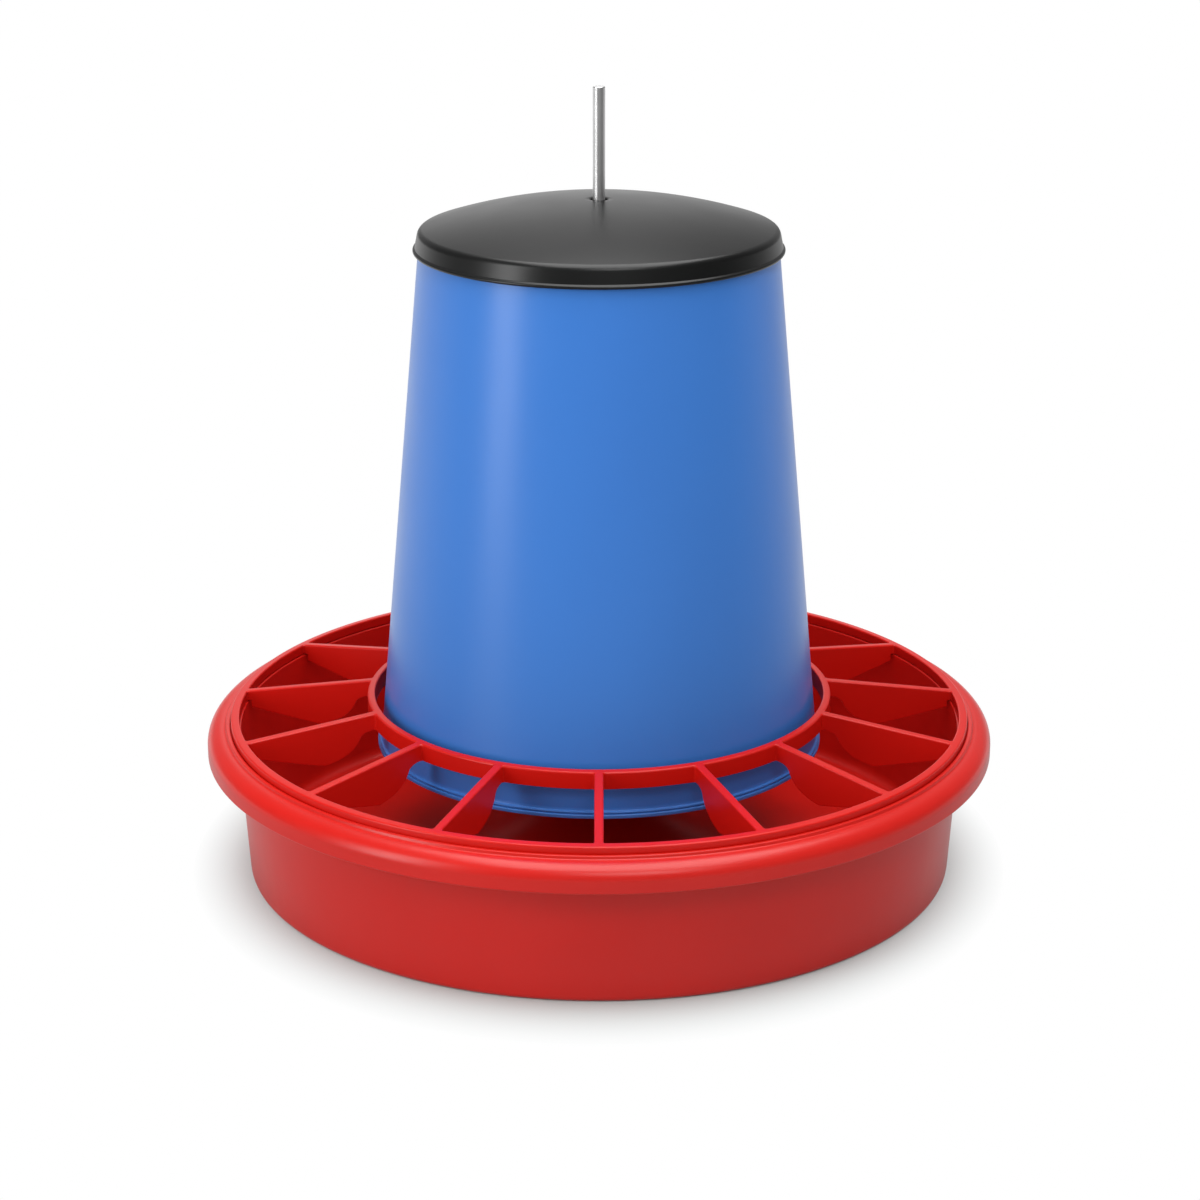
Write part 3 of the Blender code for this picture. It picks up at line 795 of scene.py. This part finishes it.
hopper = make_hopper()
dress(hopper, "feeder", "hopper_plastic", "hopper")

# %% [markdown]
# ## The lid
# A shallow dome with a rounded shoulder and a short skirt that flares a little and ends in a
# thin bead. The hole for the rod is a loose one: the lid slides up the rod when the hopper is
# filled. The dome is a true circle in section, and the shoulder is one small curve.

# %% Lid section
LID_DOME = 0.273
LID_CROWN = 0.343342
LID_WALL = 0.0014
LID_SHOULDER = 0.0884
LID_ROUND = 0.0022
LID_HOLE = 0.0043
SKIRT_HEIGHT = 0.0104
SKIRT_FLARE = 0.0021


def lid_section():
    """Dome, shoulder, flared skirt and bead outside, and the same again inside."""
    centre = LID_CROWN - LID_DOME
    lean = SKIRT_FLARE / SKIRT_HEIGHT

    def dome(start, end, radius, count):
        reach = [start + (end - start) * i / count for i in range(count + 1)]
        return [(r, centre + math.sqrt(radius ** 2 - r ** 2)) for r in reach]

    outside = dome(LID_HOLE + 0.0006, LID_SHOULDER - LID_ROUND, LID_DOME, 30)
    inside = dome(LID_SHOULDER - 0.0019, LID_HOLE + 0.0003, LID_DOME - LID_WALL, 24)
    edge = centre + math.sqrt(LID_DOME ** 2 - LID_SHOULDER ** 2)
    low = edge - SKIRT_HEIGHT
    skirt = LID_SHOULDER + SKIRT_FLARE
    turn_end = (LID_SHOULDER + lean * LID_ROUND, edge - LID_ROUND)
    shoulder = bend(outside[-1], (LID_SHOULDER, edge), turn_end, 10)
    bead = arc((skirt - 0.0002, low + 0.0009), (0.0008, 0.0009), 60, -90, 10)
    return rounded([
        (LID_HOLE, outside[0][1] - 0.0004, 0.0),
        *kept(outside),
        *kept(shoulder[1:]),
        (skirt - 0.00045, low + 0.0022, 0.0003),
        *kept(bead),
        (skirt - LID_WALL, low, 0.0004),
        (turn_end[0] - LID_WALL, turn_end[1], 0.0010),
        *kept(inside),
        (LID_HOLE, inside[-1][1] + 0.0003, 0.0),
    ], 5)


lid = turned("lid_dome", lid_section(), 256, lid_black)
dress(lid, "lid", "lid_plastic", "lid")

# %% [markdown]
# ## The rod and its thread
# A plain 6 mm bar with its ends chamfered. The pan is clamped near its foot between two nuts,
# so the bar is threaded there. A thread is a groove that climbs by one pitch in each turn: the
# radius depends on height minus a share of the turn. That rule is all a thread needs, so the
# swept bar gets it through `radius_at`, with rows close enough together to draw each groove.

# %% Rod with a rolled thread
ROD_RADIUS = 0.0030
ROD_TOP = 0.397942
ROD_LOW = 0.0180
ROD_CHAMFER = 0.0005
THREAD_PITCH = 0.0010
THREAD_DEPTH = 0.0004
THREAD_END = 0.0450
THREAD_RUNOUT = 0.0020
THREAD_ROW = THREAD_PITCH / 8
CLIP_HEIGHT = 0.2804
PIN_HOLES = [CLIP_HEIGHT - 0.012 * k for k in range(4)]
PIN_HOLE_RADIUS = 0.0013


def thread_radius(r, z, angle):
    """The bar's radius, cut by a groove below the end of the thread."""
    if r < ROD_RADIUS - 1e-6 or z > THREAD_END:
        return r
    phase = (z / THREAD_PITCH - angle / math.tau) % 1.0
    groove = 1.0 - abs(2.0 * phase - 1.0)
    runout = min(1.0, (THREAD_END - z) / THREAD_RUNOUT)
    return r - THREAD_DEPTH * groove * runout


def rod_section():
    """Chamfered ends, a plain bar, and close rows where the thread is."""
    rows = int((THREAD_END - ROD_LOW - ROD_CHAMFER) / THREAD_ROW)
    return [
        (0.0, ROD_TOP),
        (ROD_RADIUS - ROD_CHAMFER, ROD_TOP),
        (ROD_RADIUS - 0.0002, ROD_TOP - 0.0002),
        (ROD_RADIUS, ROD_TOP - ROD_CHAMFER),
        *[(ROD_RADIUS, THREAD_END - i * THREAD_ROW) for i in range(rows)],
        (ROD_RADIUS - ROD_CHAMFER, ROD_LOW),
        (0.0, ROD_LOW),
    ]


def drill(piece, heights, radius):
    """Cuts cross holes through the rod, along X."""
    bm = bmesh.new()
    for height in heights:
        place = Matrix.Translation((0.0, 0.0, height)) @ Matrix.Rotation(math.pi / 2, 4, "Y")
        bmesh.ops.create_cone(bm, cap_ends=True, segments=32, radius1=radius, radius2=radius,
                              depth=4 * ROD_RADIUS, matrix=place)
    bits = plain_mesh("drill_bits", bm, drawn_bar)
    cut = piece.modifiers.new("cross_holes", "BOOLEAN")
    cut.operation = "DIFFERENCE"
    cut.solver = "EXACT"
    cut.object = bits
    settle(piece)
    bpy.data.objects.remove(bits)


rod = turned("hanging_rod", rod_section(), 48, drawn_bar, thread_radius)
drill(rod, PIN_HOLES, PIN_HOLE_RADIUS)
dress(rod, "feeder", "rod_steel", "hanger_rod")

# %% [markdown]
# ## Washers, nuts and clip
# Two nuts clamp the pan between washers, and a clip through the rod carries the hopper on a
# third washer. A hexagon nut is also a swept piece: its radius is the hexagon's at each angle,
# and never more than a cone allows, which is exactly how a real nut gets its curved chamfers.

# %% Washers and hexagon nuts
SEAT_GAP = 0.0003
WASHER_RADIUS = 0.0090
WASHER_THICKNESS = 0.0016
NUT_HALF_FLATS = 0.0050
NUT_HEIGHT = 0.0050
NUT_BORE_CHAMFER = 0.0004


def make_washer(name, low, node):
    section = rounded([
        (ROD_BORE, low + WASHER_THICKNESS, 0.0002),
        (WASHER_RADIUS, low + WASHER_THICKNESS, 0.0003),
        (WASHER_RADIUS, low, 0.0003),
        (ROD_BORE, low, 0.0002),
    ], 3)
    dress(turned(name, section, 72, zinc_coat), "feeder", "zinc_steel", node)


def make_nut(name, low, node):
    top = low + NUT_HEIGHT
    corner = NUT_HALF_FLATS / math.cos(math.pi / 6)

    def hexagon(r, z, angle):
        if r < NUT_HALF_FLATS - 0.0005:
            return r
        across = (angle + math.pi / 6) % (math.pi / 3) - math.pi / 6
        flat = NUT_HALF_FLATS / math.cos(across)
        cone = corner - 0.0008 + 1.7 * min(z - low, top - z)
        return min(r, flat, cone)

    heights = [0.0, 0.0001, 0.0002, 0.0003, 0.0004, 0.0005, 0.0008]
    bore_end = ROD_BORE + NUT_BORE_CHAMFER
    section = [
        (ROD_BORE, top - NUT_BORE_CHAMFER),
        (bore_end, top),
        *[(corner, top - h) for h in heights],
        *[(corner, low + h) for h in reversed(heights)],
        (bore_end, low),
        (ROD_BORE, low + NUT_BORE_CHAMFER),
    ]
    dress(turned(name, section, 96, zinc_coat, hexagon), "feeder", "zinc_steel", node)


over_hub = HUB_TOP + SEAT_GAP
under_hub = HUB_UNDER - SEAT_GAP - WASHER_THICKNESS
under_hopper = SPIDER_HUB_LOW - SEAT_GAP - WASHER_THICKNESS
make_washer("washer_over_hub", over_hub, "pan_washer_upper")
make_washer("washer_under_hub", under_hub, "pan_washer_lower")
make_nut("nut_over_hub", over_hub + WASHER_THICKNESS + SEAT_GAP, "pan_nut_upper")
make_nut("nut_under_hub", under_hub - SEAT_GAP - NUT_HEIGHT, "pan_nut_lower")
make_washer("washer_under_hopper", under_hopper, "hopper_washer")

# %% [markdown]
# The clip is bent from 2 mm wire: a straight leg goes through the rod, the eye is the spring, and
# the other leg bows round the rod and grips it. Wire is a path with a round section, so a curve
# with a bevel is the natural tool. It becomes a mesh before anything rides on it.

# %% Spring clip
WIRE_RADIUS = 0.0010
CLIP_LEG = 0.0150
CLIP_TIP = 0.0090
CLIP_TIP_SPREAD = 0.0025
CLIP_EYE_RADIUS = 0.0042


def clip_path():
    """The wire from above: a leg through the rod, the eye, and a leg bowed round the rod."""
    wrap = ROD_RADIUS + WIRE_RADIUS + SEAT_GAP
    leg = [(-CLIP_TIP, 0.0), (0.0, 0.0), (CLIP_LEG, 0.0)]
    eye = arc((CLIP_LEG, CLIP_EYE_RADIUS), (CLIP_EYE_RADIUS, CLIP_EYE_RADIUS), -75, 90, 20)
    bow = arc((0.0, 0.0), (wrap, wrap), 45, 125, 12)
    back = bend(eye[-1], (0.5 * CLIP_LEG, 2 * CLIP_EYE_RADIUS), bow[0], 14)[1:-1]
    tip = [(-CLIP_TIP, bow[-1][1] + CLIP_TIP_SPREAD)]
    return leg + eye + back + bow + tip


def make_clip():
    wire = bpy.data.curves.new("clip_wire", "CURVE")
    wire.dimensions = "3D"
    wire.bevel_depth = WIRE_RADIUS
    wire.bevel_resolution = 4
    wire.use_fill_caps = True
    path = clip_path()
    spline = wire.splines.new("POLY")
    spline.points.add(len(path) - 1)
    for point, (x, y) in zip(spline.points, path):
        point.co = (x, y, CLIP_HEIGHT, 1.0)
    shape = bpy.data.objects.new("clip_wire", wire)
    bpy.context.scene.collection.objects.link(shape)
    bpy.context.view_layer.update()
    graph = bpy.context.evaluated_depsgraph_get()
    bm = bmesh.new()
    bm.from_mesh(shape.evaluated_get(graph).to_mesh())
    bpy.data.objects.remove(shape)
    return plain_mesh("hopper_pin_clip", bm, zinc_coat)


dress(make_clip(), "feeder", "zinc_steel", "hopper_clip")

# %% [markdown]
# ## The studio
# The product stands on white. A matt sheet keeps the soft shadow close to the pan, and further
# out it turns into plain white for the camera, which is what a photographer does with a lit
# sweep. The sheet is darker than white and tinted blue-green: painted shade that deepens the
# shadow and cancels the red light that the pan throws on it. Light Path tells a shader which
# kind of ray asks, so that the white adds no diffuse light: apart from the camera, only
# mirror-like rays see it, as a painted reflection that is dimmer in front and at the right, as
# if dark cards stood there.

# %% Floor that keeps the shadow
WHITE = rgb(1.0, 1.0, 1.0)
# Painted shade: the sheet is darker than white and tinted blue-green, to deepen the shadow near the
# pan and cancel the red light that the pan throws there
SHADE_PAINTED_SHEET = rgb(0.57, 0.65, 0.64)
FLOOR_RADIUS = 12.0
WHITE_STARTS = 0.180
WHITE_FULL = 0.225


def white_floor():
    paint = Paint(bpy.data.materials.new("studio_floor"))
    where = paint.node("ShaderNodeTexCoord", out="Object")
    wide = paint.place((1.07, 1.0, 1.0))
    reach = paint.node("ShaderNodeVectorMath", {"operation": "LENGTH"}, {0: wide}, out="Value")
    far = paint.remap(reach, WHITE_STARTS, WHITE_FULL, 0.0, 1.0)
    camera = paint.ray("Camera")
    glossy = paint.ray("Glossy")
    sheet = paint.node("ShaderNodeBsdfDiffuse", None, {"Color": SHADE_PAINTED_SHEET})
    # Painted light: a faint glow that only the camera sees lightens the sheet and its shadow
    lift = paint.node("ShaderNodeEmission", None, {"Color": WHITE, "Strength": camera * 0.03})
    near = paint.node("ShaderNodeAddShader", None, {0: sheet, 1: lift})
    # Painted reflection: beyond the sheet the floor glows white for mirror-like rays, dimmer in front
    # and at the right
    front_reflection_dimming = paint.remap(paint.axis(where, "Y"), -0.25, 0.40, 0.30, 1.0)
    right_reflection_dimming = paint.remap(paint.axis(where, "X"), 0.2, 1.0, 1.0, 0.7)
    strength = camera + glossy * (front_reflection_dimming * right_reflection_dimming)
    white = paint.node("ShaderNodeEmission", None, {"Color": WHITE, "Strength": strength})
    surface = paint.node("ShaderNodeMixShader", None, {0: far * (camera + glossy), 1: near, 2: white})
    paint.node("ShaderNodeOutputMaterial", None, {"Surface": surface})
    return paint.owner


bm = bmesh.new()
bmesh.ops.create_circle(bm, cap_ends=True, segments=96, radius=FLOOR_RADIUS)
floor = plain_mesh("floor", bm, white_floor())
print("floor: matt up to", WHITE_STARTS, "m from the middle, and white from", WHITE_FULL, "m on")

# %% [markdown]
# The world is white for the camera and gives a low, even light to everything. What the glossy
# plastic mirrors in it is bright straight behind the product and falls off to both sides, and
# the front is nearly dark, so each round wall gets a soft band of light along its edges.

# %% World: even light, white where it is seen
EVEN_LIGHT = 0.47


def white_world():
    paint = Paint(bpy.context.scene.world or bpy.data.worlds.new("studio"))
    bpy.context.scene.world = paint.owner
    camera = paint.ray("Camera")
    glossy = paint.ray("Glossy")
    glass = paint.ray("Transmission")
    where = paint.node("ShaderNodeTexCoord", out="Generated")
    rear = paint.remap(paint.axis(where, "Y"), 0.0, 1.0, 0.0, 1.0)
    lean = paint.axis(where, "X") + 0.05
    side_fall = paint.remap(lean * lean, 0.0, 0.06, 1.0, 0.40)
    reflected = (0.05 + 0.95 * (rear * rear)) * side_fall
    even = EVEN_LIGHT - glossy * EVEN_LIGHT
    level = camera + glass + glossy * reflected + even * (1.0 - camera)
    sky = paint.node("ShaderNodeBackground", None, {"Color": WHITE, "Strength": level})
    paint.node("ShaderNodeOutputWorld", None, {"Surface": sky})
    return paint.owner


print("world:", white_world().name, "with even light of", EVEN_LIGHT)

# %% [markdown]
# Three lamps do the rest. A large box overhead lights the dome, the rim and the tops of the
# grid, a tall strip at the left draws the long highlight down the hopper, and a small one high
# in front lifts the pan's wall.

# %% Soft boxes


def soft_box(name, place, size, watts, aim=(0.0, 0.0, 0.16)):
    lamp = bpy.data.lights.new(name, "AREA")
    lamp.shape = "RECTANGLE"
    lamp.size = size[0]
    lamp.size_y = size[1]
    lamp.energy = watts
    made = bpy.data.objects.new(name, lamp)
    bpy.context.scene.collection.objects.link(made)
    made.location = place
    made.rotation_euler = (Vector(aim) - Vector(place)).to_track_quat("-Z", "Y").to_euler()


soft_box("top_box", (0.09, -0.06, 1.30), (1.15, 1.30), 19.0, (0.09, -0.06, 0.10))
soft_box("left_strip", (-1.35, -0.88, 0.50), (0.50, 1.20), 10.5)
soft_box("front_fill", (0.30, -1.40, 1.35), (0.80, 0.50), 6.0, (0.0, 0.0, 0.05))

# %% [markdown]
# ## The camera
# Long lens, a little above the rim, looking down by about 18 degrees. The place comes from
# fitting the ellipses of the rim, the rings and the lid to the photograph.

# %% Camera
CAMERA_PITCH = 71.594

lens = bpy.data.cameras.new("photo_camera")
lens.lens = 90.465
lens.sensor_width = 36.0
lens.clip_end = 60.0
camera = bpy.data.objects.new("photo_camera", lens)
bpy.context.scene.collection.objects.link(camera)
camera.location = (0.0005, -1.4530, 0.6212)
camera.rotation_euler = (math.radians(CAMERA_PITCH), 0.0, 0.0)
bpy.context.scene.camera = camera
bpy.context.scene.view_settings.view_transform = "Standard"
print("camera:", round(lens.lens), "mm lens, looking down by", round(90 - CAMERA_PITCH, 1), "degrees")
